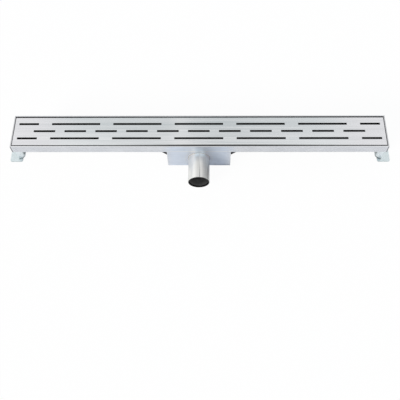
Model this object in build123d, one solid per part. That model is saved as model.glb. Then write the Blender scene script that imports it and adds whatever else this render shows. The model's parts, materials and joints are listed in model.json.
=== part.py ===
"""Linear shower drain.

A folded steel trough with a slotted grate lying in its rim, a welded sump with a horizontal
outlet tube, a lift-out trap inside the sump, and a pressed foot under each end.

Millimetres. +X runs along the trough, -Y is the way the outlet points and +Z is up. The origin
is the middle of the sump's flat underside, which stands on the same floor as the feet.
"""
from build123d import *

import os
from math import sqrt

# Steel sheet
SHEET = 2.0               # thickness of trough, sump, gussets and feet
BEND = 1.0                # inside radius of the folds in trough and sump

# Trough and sump
TROUGH_LENGTH = 700.0     # over the end caps
TROUGH_WIDTH = 70.0       # over the long walls
TROUGH_DEPTH = 20.0       # rim down to the trough's underside
OVERALL_HEIGHT = 68.0     # rim down to the sump's underside
SUMP_LENGTH = 120.0       # along the trough
SEAM_RISE = 1.0           # height of the sump's weld seam above the trough's folds
GUSSET_LEG = 16.0         # length of each of a gusset's welded edges
GUSSET_TIP = 1.5          # blunt end of those edges
GUSSET_SETBACK = 6.0      # gusset's face behind the trough's long wall

# Outlet tube
OUTLET_DIAMETER = 40.0
OUTLET_WALL = 1.5
OUTLET_REACH = 52.0       # in front of the sump's wall
OUTLET_WELD = 1.5         # leg of the weld round the tube's root

# Grate
GRATE_SHEET = 1.2
GRATE_GAP = 2.0           # between grate and trough, along the long walls
GRATE_END_GAP = 0.6       # at the ends
GRATE_SKIRT = 12.0        # height of the turned-down edges
SLOT_WIDTH = 4.4
LONG_SLOT = 91.0          # in the two outer rows
SHORT_SLOT = 40.5         # in the middle row
SLOT_BRIDGE = 24.5        # least metal between two long slots
SLOT_END_MARGIN = 8.3     # from the last slot to the end of the grate
SLOT_ROW_PITCH = 16.0     # between the middle lines of the rows
TAB_LENGTH = 12.0         # tabs of the skirt that carry the pads

# Rubber pads under the grate
PAD_LENGTH = 10.0
PAD_LIP = 1.0             # lip on each face of the tab
PAD_BASE = 3.0            # rubber under the tab
PAD_GRIP = 3.0            # height of the lips
PAD_FROM_END = 37.0       # outer pads, from the end of the grate
PAD_FROM_SUMP = 30.0      # inner pads, from the end of the sump

# Trap
SEAL_MARGIN = 0.5         # between the seat ring and the sump's walls
SEAL_WIDTH = 3.5          # seat ring, under the cup's flange
SEAL_THICKNESS = 1.0
SEAT_PLAY = 0.5           # round the cup, in the seat plate's hole
CUP_FLANGE = 1.0
CUP_WALL = 2.5
CUP_NECK_WALL = 1.3       # thinner above the ledge that holds the dip tube
CUP_FLOOR = 2.0
CUP_CLEARANCE = 3.5       # under the cup
TUBE_BORE = 35.0
TUBE_WALL = 1.5
TUBE_FLANGE = 1.5
TUBE_PLAY = 0.3           # round the flange, in the cup's neck
TUBE_SEAL = 1.0           # thickness of the rubber ring under the flange
TUBE_SEAL_WIDTH = 2.0
TUBE_GAP = 7.5            # water way under the tube
WATER_SEAL = 20.0         # depth of the tube below the windows' sill
WINDOW_HEIGHT = 8.0
WINDOW_WIDTH = 24.0
WINDOW_COUNT = 4
STRAINER_SHEET = 1.0
STRAINER_PLAY = 0.5       # round the basket, in the tube
STRAINER_DEPTH = 13.0
STRAINER_RIM = 6.0        # width of the basket's rim
STRAINER_SLOT = 2.5       # width of the slots in the basket's floor
STRAINER_BAR = 3.0        # metal between them
STRAINER_MARGIN = 1.5     # from the slots' ends to the basket's wall
BAIL_WIDTH = 4.0
BAIL_HEIGHT = 9.5
BAIL_BEND = 4.0           # outside radius of the bail's corners

# Feet
FOOT_INSET = 8.0          # leg's inner face, from the end of the trough
FOOT_FLAT = 20.0          # flat width of the leg
FOOT_CURL = 10.0          # radius of the leg's rolled edges
FOOT_CURL_ANGLE = 45.0
FOOT_FLANGE = 25.0        # from the leg outwards
FOOT_FLANGE_WIDTH = 52.0
FOOT_CORNER = 3.0
FOOT_SLOT_LENGTH = 12.0
FOOT_SLOT_WIDTH = 6.5

# Heights that follow from them
RIM_Z = OVERALL_HEIGHT
UNDERSIDE_Z = RIM_Z - TROUGH_DEPTH
FLOOR_Z = UNDERSIDE_Z + SHEET
SEAM_Z = UNDERSIDE_Z + SHEET + BEND + SEAM_RISE
SEAT_TOP_Z = FLOOR_Z - CUP_FLANGE - SEAL_THICKNESS
SEAT_Z = SEAT_TOP_Z - SHEET
SKIRT_Z = RIM_Z - GRATE_SKIRT
TAB_Z = FLOOR_Z + PAD_BASE
TUBE_TOP_Z = FLOOR_Z - STRAINER_SHEET
LEDGE_Z = TUBE_TOP_Z - TUBE_FLANGE - TUBE_SEAL
CUP_Z = SHEET + CUP_CLEARANCE
TUBE_END_Z = CUP_Z + CUP_FLOOR + TUBE_GAP
SILL_Z = TUBE_END_Z + WATER_SEAL

# Widths, radii and places that follow from them
INNER_WIDTH = TROUGH_WIDTH - 2 * SHEET
WALL_Y = TROUGH_WIDTH / 2
GRATE_LENGTH = TROUGH_LENGTH - 2 * (SHEET + GRATE_END_GAP)
GRATE_WIDTH = INNER_WIDTH - 2 * GRATE_GAP
SKIRT_Y = GRATE_WIDTH / 2 - GRATE_SHEET / 2
OUTLET_R = OUTLET_DIAMETER / 2
OUTLET_BORE_R = OUTLET_R - OUTLET_WALL
OUTLET_Z = SEAT_Z - OUTLET_BORE_R
SEAL_R = INNER_WIDTH / 2 - SEAL_MARGIN
CUP_R = SEAL_R - SEAL_WIDTH
NECK_R = CUP_R - CUP_NECK_WALL
CUP_BORE_R = CUP_R - CUP_WALL
TUBE_R = TUBE_BORE / 2
BASKET_R = TUBE_R - STRAINER_PLAY
BAIL_X = BASKET_R + STRAINER_RIM / 2
PAD_X = (SUMP_LENGTH / 2 + PAD_FROM_SUMP, GRATE_LENGTH / 2 - PAD_FROM_END)
FOOT_X = TROUGH_LENGTH / 2 - FOOT_INSET
FLANGE_X = FOOT_X + SHEET + FOOT_FLANGE


def block(length, width, bottom, top, x=0.0, y=0.0):
    """Upright box centred on (x, y), from one height to another."""
    return Pos(x, y, (bottom + top) / 2) * Box(length, width, top - bottom)


def u_outline(width, bottom, top, radius):
    """Upright rectangle with its two lower corners rounded."""
    outline = Pos(0, (bottom + top) / 2) * Rectangle(width, top - bottom)
    return fillet(outline.vertices().group_by(Axis.Y)[0], radius)


def along_x(outline, length):
    """Extrusion of a cross-section evenly to both sides of the middle of the trough."""
    return extrude(Plane.YZ * outline, amount=length / 2, both=True)


def turned(*points):
    """Solid turned about Z from its outline of (radius, height) points."""
    return revolve(Plane.XZ * make_face(Polyline(*points, close=True)), Axis.Z)


def make_trough():
    """Folded trough, notched where the sump's walls come up flush with its own."""
    outside = u_outline(TROUGH_WIDTH, UNDERSIDE_Z, RIM_Z, BEND + SHEET)
    inside = u_outline(INNER_WIDTH, FLOOR_Z, RIM_Z, BEND)
    run = along_x(outside - inside, TROUGH_LENGTH - 2 * SHEET)
    return run - block(SUMP_LENGTH, TROUGH_WIDTH, UNDERSIDE_Z, SEAM_Z)


def make_end_cap():
    """Plate over the trough's right end, with the outline of its folded section."""
    outline = u_outline(TROUGH_WIDTH, UNDERSIDE_Z, RIM_Z, BEND + SHEET)
    return extrude(Plane.YZ.offset(TROUGH_LENGTH / 2 - SHEET) * outline, amount=SHEET)


def make_sump():
    """Box folded front to back, with side walls that stop at the trough's floor."""
    outside = u_outline(TROUGH_WIDTH, 0, SEAM_Z, BEND + SHEET)
    inside = u_outline(INNER_WIDTH, SHEET, SEAM_Z, BEND)
    box = along_x(outside, SUMP_LENGTH) - along_x(inside, SUMP_LENGTH - 2 * SHEET)
    box -= block(SUMP_LENGTH, INNER_WIDTH, FLOOR_Z, SEAM_Z)
    hole = Pos(0, -WALL_Y, OUTLET_Z) * Rot(90, 0, 0) * Cylinder(OUTLET_BORE_R, 4 * SHEET)
    return box - hole


def make_seat_plate():
    """Plate welded across the sump, with the trap's hole."""
    plate = block(SUMP_LENGTH - 2 * SHEET, INNER_WIDTH, SEAT_Z, SEAT_TOP_Z)
    return plate - Pos(0, 0, SEAT_Z) * Cylinder(CUP_R + SEAT_PLAY, 4 * SHEET)


def make_outlet():
    """Tube butted on the sump's front wall, with the fillet weld that holds it there."""
    mouth = -WALL_Y - OUTLET_REACH
    outline = Polyline(
        (mouth, OUTLET_BORE_R),
        (mouth, OUTLET_R),
        (-WALL_Y - OUTLET_WELD, OUTLET_R),
        (-WALL_Y, OUTLET_R + OUTLET_WELD),
        (-WALL_Y, OUTLET_BORE_R),
        close=True,
    )
    section = Plane.YZ * make_face(outline)
    return Pos(0, 0, OUTLET_Z) * revolve(section, Axis.Y)


def make_gusset():
    """Front right triangle between the sump's side and the trough's underside."""
    side = SUMP_LENGTH / 2
    outline = Polyline(
        (side, UNDERSIDE_Z),
        (side + GUSSET_LEG, UNDERSIDE_Z),
        (side + GUSSET_LEG, UNDERSIDE_Z - GUSSET_TIP),
        (side + GUSSET_TIP, UNDERSIDE_Z - GUSSET_LEG),
        (side, UNDERSIDE_Z - GUSSET_LEG),
        close=True,
    )
    back_face = WALL_Y - GUSSET_SETBACK - SHEET
    return extrude(Plane.XZ.offset(back_face) * make_face(outline), amount=SHEET)


def leg_face(radius):
    """Lines of one face of the foot's leg in plan: flat, then rolled outwards at both edges."""
    centre_x = FOOT_X + FOOT_CURL
    flat = FOOT_FLAT / 2
    front = CenterArc((centre_x, -flat), radius, 180, FOOT_CURL_ANGLE)
    rear = CenterArc((centre_x, flat), radius, 180, -FOOT_CURL_ANGLE)
    return front, Line(front @ 0, rear @ 0), rear


def make_foot():
    """Right foot: a leg with rolled edges, and a slotted flange on the floor."""
    inner = leg_face(FOOT_CURL)
    outer = leg_face(FOOT_CURL - SHEET)
    front_edge = Line(inner[0] @ 1, outer[0] @ 1)
    rear_edge = Line(inner[2] @ 1, outer[2] @ 1)
    leg_plan = make_face([*inner, *outer, front_edge, rear_edge])
    heel_plan = make_face([*inner, Line(inner[0] @ 1, inner[2] @ 1)])
    heel_x = (inner[0] @ 1).X
    toe = Pos((heel_x + FLANGE_X) / 2, 0) * Rectangle(FLANGE_X - heel_x, FOOT_FLANGE_WIDTH)
    toe = fillet(toe.vertices(), FOOT_CORNER)
    slot = Pos(FOOT_X + SHEET + FOOT_FLANGE / 2, 0) * SlotOverall(FOOT_SLOT_LENGTH, FOOT_SLOT_WIDTH)
    flange = extrude(heel_plan + toe - slot, amount=SHEET)
    return flange + extrude(leg_plan, amount=UNDERSIDE_Z)


def grate_slots():
    """Punched slots in plan: long and short ones on one pitch, cut off before the ends of the grate."""
    periods = int(GRATE_LENGTH // (LONG_SLOT + SLOT_BRIDGE))
    pitch = GRATE_LENGTH / periods
    start = -GRATE_LENGTH / 2
    end_slot = LONG_SLOT / 2 - SLOT_END_MARGIN
    end_x = GRATE_LENGTH / 2 - SLOT_END_MARGIN - end_slot / 2
    slots = []
    for row_y in (-SLOT_ROW_PITCH, SLOT_ROW_PITCH):
        slots += [Pos(start + k * pitch, row_y) * Rectangle(LONG_SLOT, SLOT_WIDTH)
                  for k in range(1, periods)]
        slots += [Pos(x, row_y) * Rectangle(end_slot, SLOT_WIDTH) for x in (-end_x, end_x)]
    slots += [Pos(start + k * pitch / 2, 0) * Rectangle(SHORT_SLOT, SLOT_WIDTH)
              for k in range(1, 2 * periods)]
    return slots


def make_grate():
    """Slotted plate with edges folded down sharp on the inside, and tabs on the long ones for the pads."""
    outside = block(GRATE_LENGTH, GRATE_WIDTH, SKIRT_Z, RIM_Z)
    outside = fillet(outside.edges().group_by(Axis.Z)[-1], GRATE_SHEET)
    inner_size = (GRATE_LENGTH - 2 * GRATE_SHEET, GRATE_WIDTH - 2 * GRATE_SHEET)
    grate = outside - block(*inner_size, SKIRT_Z, RIM_Z - GRATE_SHEET)
    for x in PAD_X:
        for side_x in (-x, x):
            for side_y in (-SKIRT_Y, SKIRT_Y):
                grate += block(TAB_LENGTH, GRATE_SHEET, TAB_Z, SKIRT_Z, side_x, side_y)
    cut_plane = Plane.XY.offset(RIM_Z - 2 * GRATE_SHEET)
    return grate - [extrude(cut_plane * slot, amount=3 * GRATE_SHEET) for slot in grate_slots()]


def make_pad():
    """Rubber shoe with a groove for a tab, at the middle of the front skirt, bevelled to clear the fold."""
    top = TAB_Z + PAD_GRIP
    outline = Pos(-SKIRT_Y, (FLOOR_Z + top) / 2) * Rectangle(GRATE_SHEET + 2 * PAD_LIP, top - FLOOR_Z)
    outer_edge = outline.vertices().group_by(Axis.Y)[0].sort_by(Axis.X)[0]
    shoe = along_x(chamfer(outer_edge, BEND), PAD_LENGTH)
    return shoe - block(PAD_LENGTH, GRATE_SHEET, TAB_Z, top, 0, -SKIRT_Y)


def ring(inner, outer, bottom, top):
    """Flat ring about Z, from one height to another."""
    return turned((inner, bottom), (outer, bottom), (outer, top), (inner, top))


def make_seat_seal():
    """Flat rubber ring on the seat plate, under the cup's flange."""
    return ring(CUP_R, SEAL_R, SEAT_TOP_Z, SEAT_TOP_Z + SEAL_THICKNESS)


def make_cup():
    """Trap cup: flange on the seat ring, ledge in the neck, windows above the water line."""
    flange_z = FLOOR_Z - CUP_FLANGE
    inner_floor = CUP_Z + CUP_FLOOR
    cup = turned((0, CUP_Z), (CUP_R, CUP_Z), (CUP_R, flange_z), (SEAL_R, flange_z),
                 (SEAL_R, FLOOR_Z), (NECK_R, FLOOR_Z), (NECK_R, LEDGE_Z), (CUP_BORE_R, LEDGE_Z),
                 (CUP_BORE_R, inner_floor), (0, inner_floor))
    window = Box(4 * CUP_WALL, WINDOW_WIDTH, WINDOW_HEIGHT)
    places = PolarLocations(CUP_R, WINDOW_COUNT)
    return cup - [Pos(0, 0, SILL_Z + WINDOW_HEIGHT / 2) * place * window for place in places]


def make_tube_seal():
    """Flat rubber ring on the ledge in the cup's neck."""
    outer = NECK_R - TUBE_PLAY
    return ring(outer - TUBE_SEAL_WIDTH, outer, LEDGE_Z, LEDGE_Z + TUBE_SEAL)


def make_tube():
    """Dip tube with a flange that closes the cup's neck."""
    outer = TUBE_R + TUBE_WALL
    flange_r = NECK_R - TUBE_PLAY
    flange_z = TUBE_TOP_Z - TUBE_FLANGE
    return turned((TUBE_R, TUBE_END_Z), (outer, TUBE_END_Z), (outer, flange_z), (flange_r, flange_z),
                  (flange_r, TUBE_TOP_Z), (TUBE_R, TUBE_TOP_Z))


def strainer_slots():
    """Slots in plan that fill the basket's floor, each as long as the chord it lies on."""
    reach = BASKET_R - STRAINER_SHEET - STRAINER_MARGIN
    pitch = STRAINER_SLOT + STRAINER_BAR
    rows = int(reach // pitch)
    chords = [(k * pitch, 2 * sqrt(reach**2 - (k * pitch)**2)) for k in range(-rows, rows + 1)]
    return [Pos(0, y) * Rectangle(length, STRAINER_SLOT) for y, length in chords]


def make_strainer():
    """Slotted basket that hangs by its rim in the dip tube."""
    bottom = FLOOR_Z - STRAINER_DEPTH
    rim_r = BASKET_R + STRAINER_RIM
    inner = BASKET_R - STRAINER_SHEET
    basket = turned((0, bottom), (BASKET_R, bottom), (BASKET_R, TUBE_TOP_Z), (rim_r, TUBE_TOP_Z),
                    (rim_r, FLOOR_Z), (inner, FLOOR_Z), (inner, bottom + STRAINER_SHEET),
                    (0, bottom + STRAINER_SHEET))
    cut_plane = Plane.XY.offset(bottom - STRAINER_SHEET)
    return basket - [extrude(cut_plane * slot, amount=3 * STRAINER_SHEET) for slot in strainer_slots()]


def make_bail():
    """Folded strip handle welded on the basket's rim."""
    inner_width = 2 * BAIL_X - STRAINER_SHEET
    arch = u_outline(inner_width + 2 * STRAINER_SHEET, 0, BAIL_HEIGHT, BAIL_BEND)
    arch -= u_outline(inner_width, STRAINER_SHEET, BAIL_HEIGHT, BAIL_BEND - STRAINER_SHEET)
    upside_down = Pos(0, 0, FLOOR_Z + BAIL_HEIGHT) * Rot(-90, 0, 0)
    return upside_down * extrude(arch, amount=BAIL_WIDTH / 2, both=True)


def make_pads():
    """The four pads on each long side, named from the left."""
    pad = make_pad()
    pads = {}
    for number, x in enumerate(sorted([*PAD_X, *(-x for x in PAD_X)]), start=1):
        front = Pos(x, 0, 0) * pad
        pads[f"grate_pad_front_{number}"] = front
        pads[f"grate_pad_rear_{number}"] = mirror(front, about=Plane.XZ)
    return pads


def make_parts():
    """Every piece of the drain by its name."""
    end_cap = make_end_cap()
    foot = make_foot()
    gusset = make_gusset()
    gusset_left = mirror(gusset, about=Plane.YZ)
    return {
        "trough": make_trough(),
        "end_cap_left": mirror(end_cap, about=Plane.YZ),
        "end_cap_right": end_cap,
        "sump_box": make_sump(),
        "sump_seat_plate": make_seat_plate(),
        "outlet_pipe": make_outlet(),
        "gusset_front_left": gusset_left,
        "gusset_front_right": gusset,
        "gusset_rear_left": mirror(gusset_left, about=Plane.XZ),
        "gusset_rear_right": mirror(gusset, about=Plane.XZ),
        "foot_left": mirror(foot, about=Plane.YZ),
        "foot_right": foot,
        "grate": make_grate(),
        **make_pads(),
        "seat_seal": make_seat_seal(),
        "trap_cup": make_cup(),
        "trap_tube_seal": make_tube_seal(),
        "trap_tube": make_tube(),
        "hair_strainer": make_strainer(),
        "strainer_bail": make_bail(),
    }


os.makedirs("parts", exist_ok=True)
for node, solid in make_parts().items():
    export_step(solid, f"parts/{node}.step")
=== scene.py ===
# %% [markdown]
# # Dressing a linear shower drain
# The drain is a long folded trough of stainless steel with a slotted grate in its rim. A sump
# with a round outlet hangs under its middle, and a zinc-plated foot stands under each end. The
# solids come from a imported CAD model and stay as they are. This lesson adds what the solids
# leave out: the finishes, the weld beads, the outer half of the feet's rolled edges, and the
# light of a product photograph.

# %% Load the solids
import json
import math

import bmesh
import bpy
import numpy as np
from mathutils import Matrix, Vector


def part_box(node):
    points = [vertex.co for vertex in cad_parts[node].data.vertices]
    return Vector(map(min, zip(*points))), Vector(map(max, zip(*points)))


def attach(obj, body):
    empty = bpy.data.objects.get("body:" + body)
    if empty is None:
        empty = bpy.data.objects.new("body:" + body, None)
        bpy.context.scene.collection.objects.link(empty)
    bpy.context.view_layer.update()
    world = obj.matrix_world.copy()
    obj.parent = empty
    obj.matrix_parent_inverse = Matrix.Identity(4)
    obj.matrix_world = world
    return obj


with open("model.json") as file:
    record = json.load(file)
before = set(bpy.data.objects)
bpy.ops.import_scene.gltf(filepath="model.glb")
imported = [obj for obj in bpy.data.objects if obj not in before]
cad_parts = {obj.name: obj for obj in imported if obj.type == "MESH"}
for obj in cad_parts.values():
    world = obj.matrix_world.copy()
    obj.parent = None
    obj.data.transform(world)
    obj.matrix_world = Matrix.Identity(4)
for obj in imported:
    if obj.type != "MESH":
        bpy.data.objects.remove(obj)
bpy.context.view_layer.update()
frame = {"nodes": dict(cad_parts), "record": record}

MM = 0.001
nodes = frame["nodes"]

# %% [markdown]
# ## Sizes
# Finishes and beads have to sit where the solids have their seams and edges. Reading those
# places from the solids, and the outlet's radius from the record, keeps the two together if
# the CAD model changes.

# %% Places read from the solids
cap_low, cap_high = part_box("end_cap_right")
trough_low, trough_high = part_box("trough")
sump_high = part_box("sump_box")[1]
spigot = next(mount for mount in frame["record"]["mounts"] if mount["name"] == "outlet_spigot")

TROUGH_END = cap_high.x                # outer face of an end cap
SHEET = cap_high.x - cap_low.x         # thickness of the sheet
WALL = trough_high.y                   # outer face of a long wall
RIM = trough_high.z
UNDERSIDE = trough_low.z               # lower face of the trough's floor
SUMP_SIDE = sump_high.x
SUMP_SEAM = sump_high.z
GRATE_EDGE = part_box("grate")[1].y
FOOT_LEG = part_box("foot_right")[0].x   # inner face of a leg
OUTLET_HEIGHT = spigot["pos_m"][2]     # the outlet's axis above the floor
OUTLET_R = spigot["dims"]["r_mm"] * MM
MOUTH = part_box("outlet_pipe")[0].y
print(f"trough {2 * TROUGH_END:.3f} x {2 * WALL:.3f} m, sheet {SHEET:.4f}, outlet radius {OUTLET_R:.3f}")

# %% [markdown]
# ## The camera
# The view looks down on the drain from the front, with the outlet pointing at the viewer. The
# angles below were solved from the grate's slots: their pitch and length are known, so their
# places in the picture fix where the camera stood and how long its lens was. Writing the
# camera as three axes keeps the turn, the tilt and the slight roll apart, which a look-at
# helper would mix.

# %% Place the camera
CAMERA_PLACE = (19.68 * MM, -645.56 * MM, 1024.45 * MM)
CAMERA_YAW = math.radians(1.874)
CAMERA_PITCH = math.radians(62.384)
CAMERA_ROLL = math.radians(-1.63)
CAMERA_LENS = 55.24
SENSOR_WIDTH = 36.0


def camera_matrix(place, yaw, pitch, roll):
    """Turn about Z by yaw, look down by pitch, then roll about the line of sight."""
    level = math.cos(pitch)
    forward = Vector((-math.sin(yaw) * level, math.cos(yaw) * level, -math.sin(pitch)))
    right = Vector((math.cos(yaw), math.sin(yaw), 0))
    up = right.cross(forward)
    rolled_right = math.cos(roll) * right + math.sin(roll) * up
    rolled_up = math.cos(roll) * up - math.sin(roll) * right
    axes = Matrix((rolled_right, rolled_up, -forward)).transposed()
    return Matrix.Translation(place) @ axes.to_4x4()


lens = bpy.data.cameras.new("camera")
lens.sensor_fit = "HORIZONTAL"
lens.sensor_width = SENSOR_WIDTH
lens.lens = CAMERA_LENS
camera = bpy.data.objects.new("camera", lens)
camera.matrix_world = camera_matrix(CAMERA_PLACE, CAMERA_YAW, CAMERA_PITCH, CAMERA_ROLL)
bpy.context.scene.collection.objects.link(camera)
bpy.context.scene.camera = camera
bpy.context.scene.view_settings.view_transform = "Standard"
print("camera at", [round(c, 3) for c in camera.location], "lens", lens.lens)

# %% [markdown]
# ## Formulas for finishes
# A finish is a small formula of the place on the surface: streaks here, a tint there. Node
# graphs written link by link hide that formula, so one class wraps a socket and lets Python's
# own operators add the Math nodes. Every other node comes from its one method `add`, which
# takes the node's type, its settings and what goes into its sockets. Two methods make most
# masks: `rise` takes the place where a mask starts and the one where it is full, and `near`
# takes a middle and a reach. The named pairs in the cells below go into one of these two.

# %% Sockets that can be written into formulas
class Wire:
    """An output socket of a shader tree: arithmetic on it adds Math nodes to that tree."""

    def __init__(self, socket):
        self.socket = socket

    def add(self, kind, settings=None, sockets=None, out=0):
        """New node of a type: settings first, then each socket gets a value or a link."""
        tree = self.socket.id_data
        node = tree.nodes.new(kind)
        for name, value in (settings or {}).items():
            setattr(node, name, value)
        for name, value in (sockets or {}).items():
            if isinstance(value, Wire):
                tree.links.new(value.socket, node.inputs[name])
            else:
                node.inputs[name].default_value = value
        return Wire(node.outputs[out])

    def math(self, operation, *values):
        """Math node of an operation on one or two values."""
        return self.add("ShaderNodeMath", {"operation": operation}, dict(enumerate(values)))

    def __add__(self, other):
        return self.math("ADD", self, other)

    def __sub__(self, other):
        return self.math("SUBTRACT", self, other)

    def __rsub__(self, other):
        return self.math("SUBTRACT", other, self)

    def __mul__(self, other):
        return self.math("MULTIPLY", self, other)

    def __pow__(self, other):
        return self.math("POWER", self, other)

    __radd__ = __add__
    __rmul__ = __mul__

    def size(self):
        """The value without its sign."""
        return self.math("ABSOLUTE", self)

    def most(self, other):
        """The larger of two values."""
        return self.math("MAXIMUM", self, other)

    def rise(self, start, end):
        """0 below start, 1 above end, smooth between; a start above the end falls instead."""
        flip = start > end
        sockets = {"Value": self, "From Min": min(start, end), "From Max": max(start, end)}
        ramp = self.add("ShaderNodeMapRange", {"interpolation_type": "SMOOTHSTEP"}, sockets)
        return 1 - ramp if flip else ramp

    def near(self, place, reach):
        """1 at a place, fading to 0 at reach from it."""
        return (self - place).size().rise(reach, 0)

    def colour(self, low, high):
        """Mix of two colours with this value as the factor."""
        ends = {0: self, 6: as_colour(low), 7: as_colour(high)}
        return self.add("ShaderNodeMix", {"data_type": "RGBA"}, ends, out=2)

    def axis(self, letter):
        """One coordinate of a vector."""
        return self.add("ShaderNodeSeparateXYZ", None, {0: self}, out="XYZ".index(letter))

    def axes(self):
        """All three coordinates of a vector."""
        return [self.axis(letter) for letter in "XYZ"]

    def noise(self, per_metre, detail=2.0, rough=0.5):
        """Noise with its own density along X, Y and Z, in waves per metre."""
        stretched = self.add("ShaderNodeVectorMath", {"operation": "MULTIPLY"}, {0: self, 1: per_metre})
        sockets = {"Vector": stretched, "Scale": 1.0, "Detail": detail, "Roughness": rough}
        return self.add("ShaderNodeTexNoise", None, sockets)

    def cell_shade(self, per_metre):
        """A value of its own for each Voronoi cell: the red of the cell's colour."""
        sockets = {"Vector": self, "Scale": per_metre}
        return self.add("ShaderNodeTexVoronoi", None, sockets, out=1).axis("X")


def as_colour(value):
    """A colour with its alpha, or a wire as it is."""
    return value if isinstance(value, Wire) else (*value, 1.0)


print("formula class ready")

# %% Start and end of a finish
SPREAD = (0.3, 0.7)   # most of a noise's values lie between these, so a rise over them spreads it
finishes = {}


def start_finish(name, **constants):
    """New material with constants set on its shader; returns its object and normal coordinates."""
    material = bpy.data.materials.new(name)
    material.use_nodes = True
    shader = material.node_tree.nodes["Principled BSDF"]
    for socket, value in constants.items():
        shader.inputs[socket.replace("_", " ")].default_value = value
    finishes[name] = material
    surface = Wire(shader.outputs["BSDF"])
    place = surface.add("ShaderNodeTexCoord", out="Object")
    facing = surface.add("ShaderNodeNewGeometry", out="Normal")
    return place, facing


def end_finish(name, height, depth, **wires):
    """Feed the varying values into the shader, and a height of up to a depth through a Bump node."""
    tree = finishes[name].node_tree
    shader = tree.nodes["Principled BSDF"]
    wires["Normal"] = height.add("ShaderNodeBump", None, {"Height": height, "Distance": depth})
    for socket, wire in wires.items():
        tree.links.new(wire.socket, shader.inputs[socket.replace("_", " ")])
    print(f"finish {name}: {len(tree.nodes)} nodes")


print("finishes can be written")

# %% [markdown]
# ## Floor and light
# The drain is photographed on white. Polished steel has little colour of its own and shows
# what is around it, so the studio matters more than the lamps: a pale floor, a bright wall on
# the left, a darker side on the right that models the round outlet. The camera sees floor and
# world close to white. The metal sees the floor with its real shading, so that the outlet's
# shadow darkens the sump beside it as it does in the picture. On the floor, from the trough's
# front face backwards, lie two cards that only the metal sees: a white one brightens the
# outlet's left flank, and a black one darkens the right. The key lamp shapes the floor and the
# plastics only, because its own image in the metal would be a hot spot.

# %% World seen in the metal
SKY_LIGHT = 0.97        # overhead, as the middle of the grate mirrors it
LEFT_LIGHT = 0.60       # added for the bright left end of the grate
RIGHT_LIGHT = 0.72      # added for its bright right end
LEFT_WALL = 0.35        # added far to the left, for the outlet's bright flank
RIGHT_SHADE = 0.24      # taken off far to the right, for its dark flank
ROOM_LIGHT = (0.55, 0.585, 0.64)   # the world as plain surfaces receive it
WHITE = (1.0, 1.0, 1.0)

# The places below are coordinates of a direction: AT is a middle and a reach, FROM a start and an end.
LEFT_LIGHT_AT = (-0.38, 0.24)
RIGHT_LIGHT_AT = (0.31, 0.14)
LEFT_WALL_AT = (0.47, 0.30)
CEILING_FROM = (0.45, 0.75)
LEFT_WALL_FROM = (-0.35, -0.75)
RIGHT_SHADE_FROM = (0.45, 0.85)


def ray_is(wire, *kinds):
    """1 for the named kinds of ray."""
    found = wire.add("ShaderNodeLightPath", out=f"Is {kinds[0]} Ray")
    for kind in kinds[1:]:
        found = found.most(wire.add("ShaderNodeLightPath", out=f"Is {kind} Ray"))
    return found


world = bpy.data.worlds.new("studio")
world.use_nodes = True
world.cycles.sampling_method = "NONE"
bpy.context.scene.world = world
background = world.node_tree.nodes["Background"]
direction = Wire(background.outputs["Background"]).add("ShaderNodeTexCoord", out="Generated")
across, back, up = direction.axes()
ceiling = up.rise(*CEILING_FROM)
wall = back.size().near(*LEFT_WALL_AT) * across.rise(*LEFT_WALL_FROM)
left = LEFT_LIGHT * ceiling * across.near(*LEFT_LIGHT_AT) + LEFT_WALL * wall
shade = across.rise(*RIGHT_SHADE_FROM)
right = RIGHT_LIGHT * ceiling * across.near(*RIGHT_LIGHT_AT) - RIGHT_SHADE * shade
seen = ray_is(across, "Camera")
mirrored = ray_is(across, "Glossy", "Transmission")
strength = seen + mirrored * (SKY_LIGHT + left + right) + (1 - seen.most(mirrored))
tint = seen.most(mirrored).colour(ROOM_LIGHT, WHITE)
world.node_tree.links.new(tint.socket, background.inputs["Color"])
world.node_tree.links.new(strength.socket, background.inputs["Strength"])
print("world:", len(world.node_tree.nodes), "nodes")

# %% Floor
FLOOR_DROP = 0.05 * MM       # floor under the feet, so that the two don't share a plane
FLOOR_HALF = 4.0

corners = FLOOR_HALF * np.array([(-1, -1), (1, -1), (1, 1), (-1, 1)])
floor_mesh = bpy.data.meshes.new("floor")
floor_mesh.from_pydata([(x, y, -FLOOR_DROP) for x, y in corners], [], [(0, 1, 2, 3)])
floor = bpy.data.objects.new("floor", floor_mesh)
bpy.context.scene.collection.objects.link(floor)
print(f"floor: {2 * FLOOR_HALF:.0f} m square")

# %% Paper of the floor
PAPER = (0.90, 0.90, 0.90)
PAPER_ROUGHNESS = 0.9
FLOOR_WHITE_SEEN = 0.955     # share of plain white in the floor, as the camera sees it
FLOOR_WHITE_MIRRORED = 0.08  # the same in the metal
CARD_PLACE = 165 * MM        # middle of each card, from the outlet's axis
CARD_HALF = 140 * MM
CARD_SIDE_FADE = 8 * MM
CARD_FRONT_FADE = 4 * MM
CARD_WHITE = 0.97            # share of white on the left card, as the metal sees it
CARD_BLACK = 0.72            # share of black on the right card


def card_mask(ground, middle):
    """1 on a card about one place along X, from the trough's front face backwards."""
    along = (ground.axis("X") - middle).size().rise(CARD_HALF, CARD_HALF - CARD_SIDE_FADE)
    return along * ground.axis("Y").rise(-WALL - CARD_FRONT_FADE, -WALL)


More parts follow.
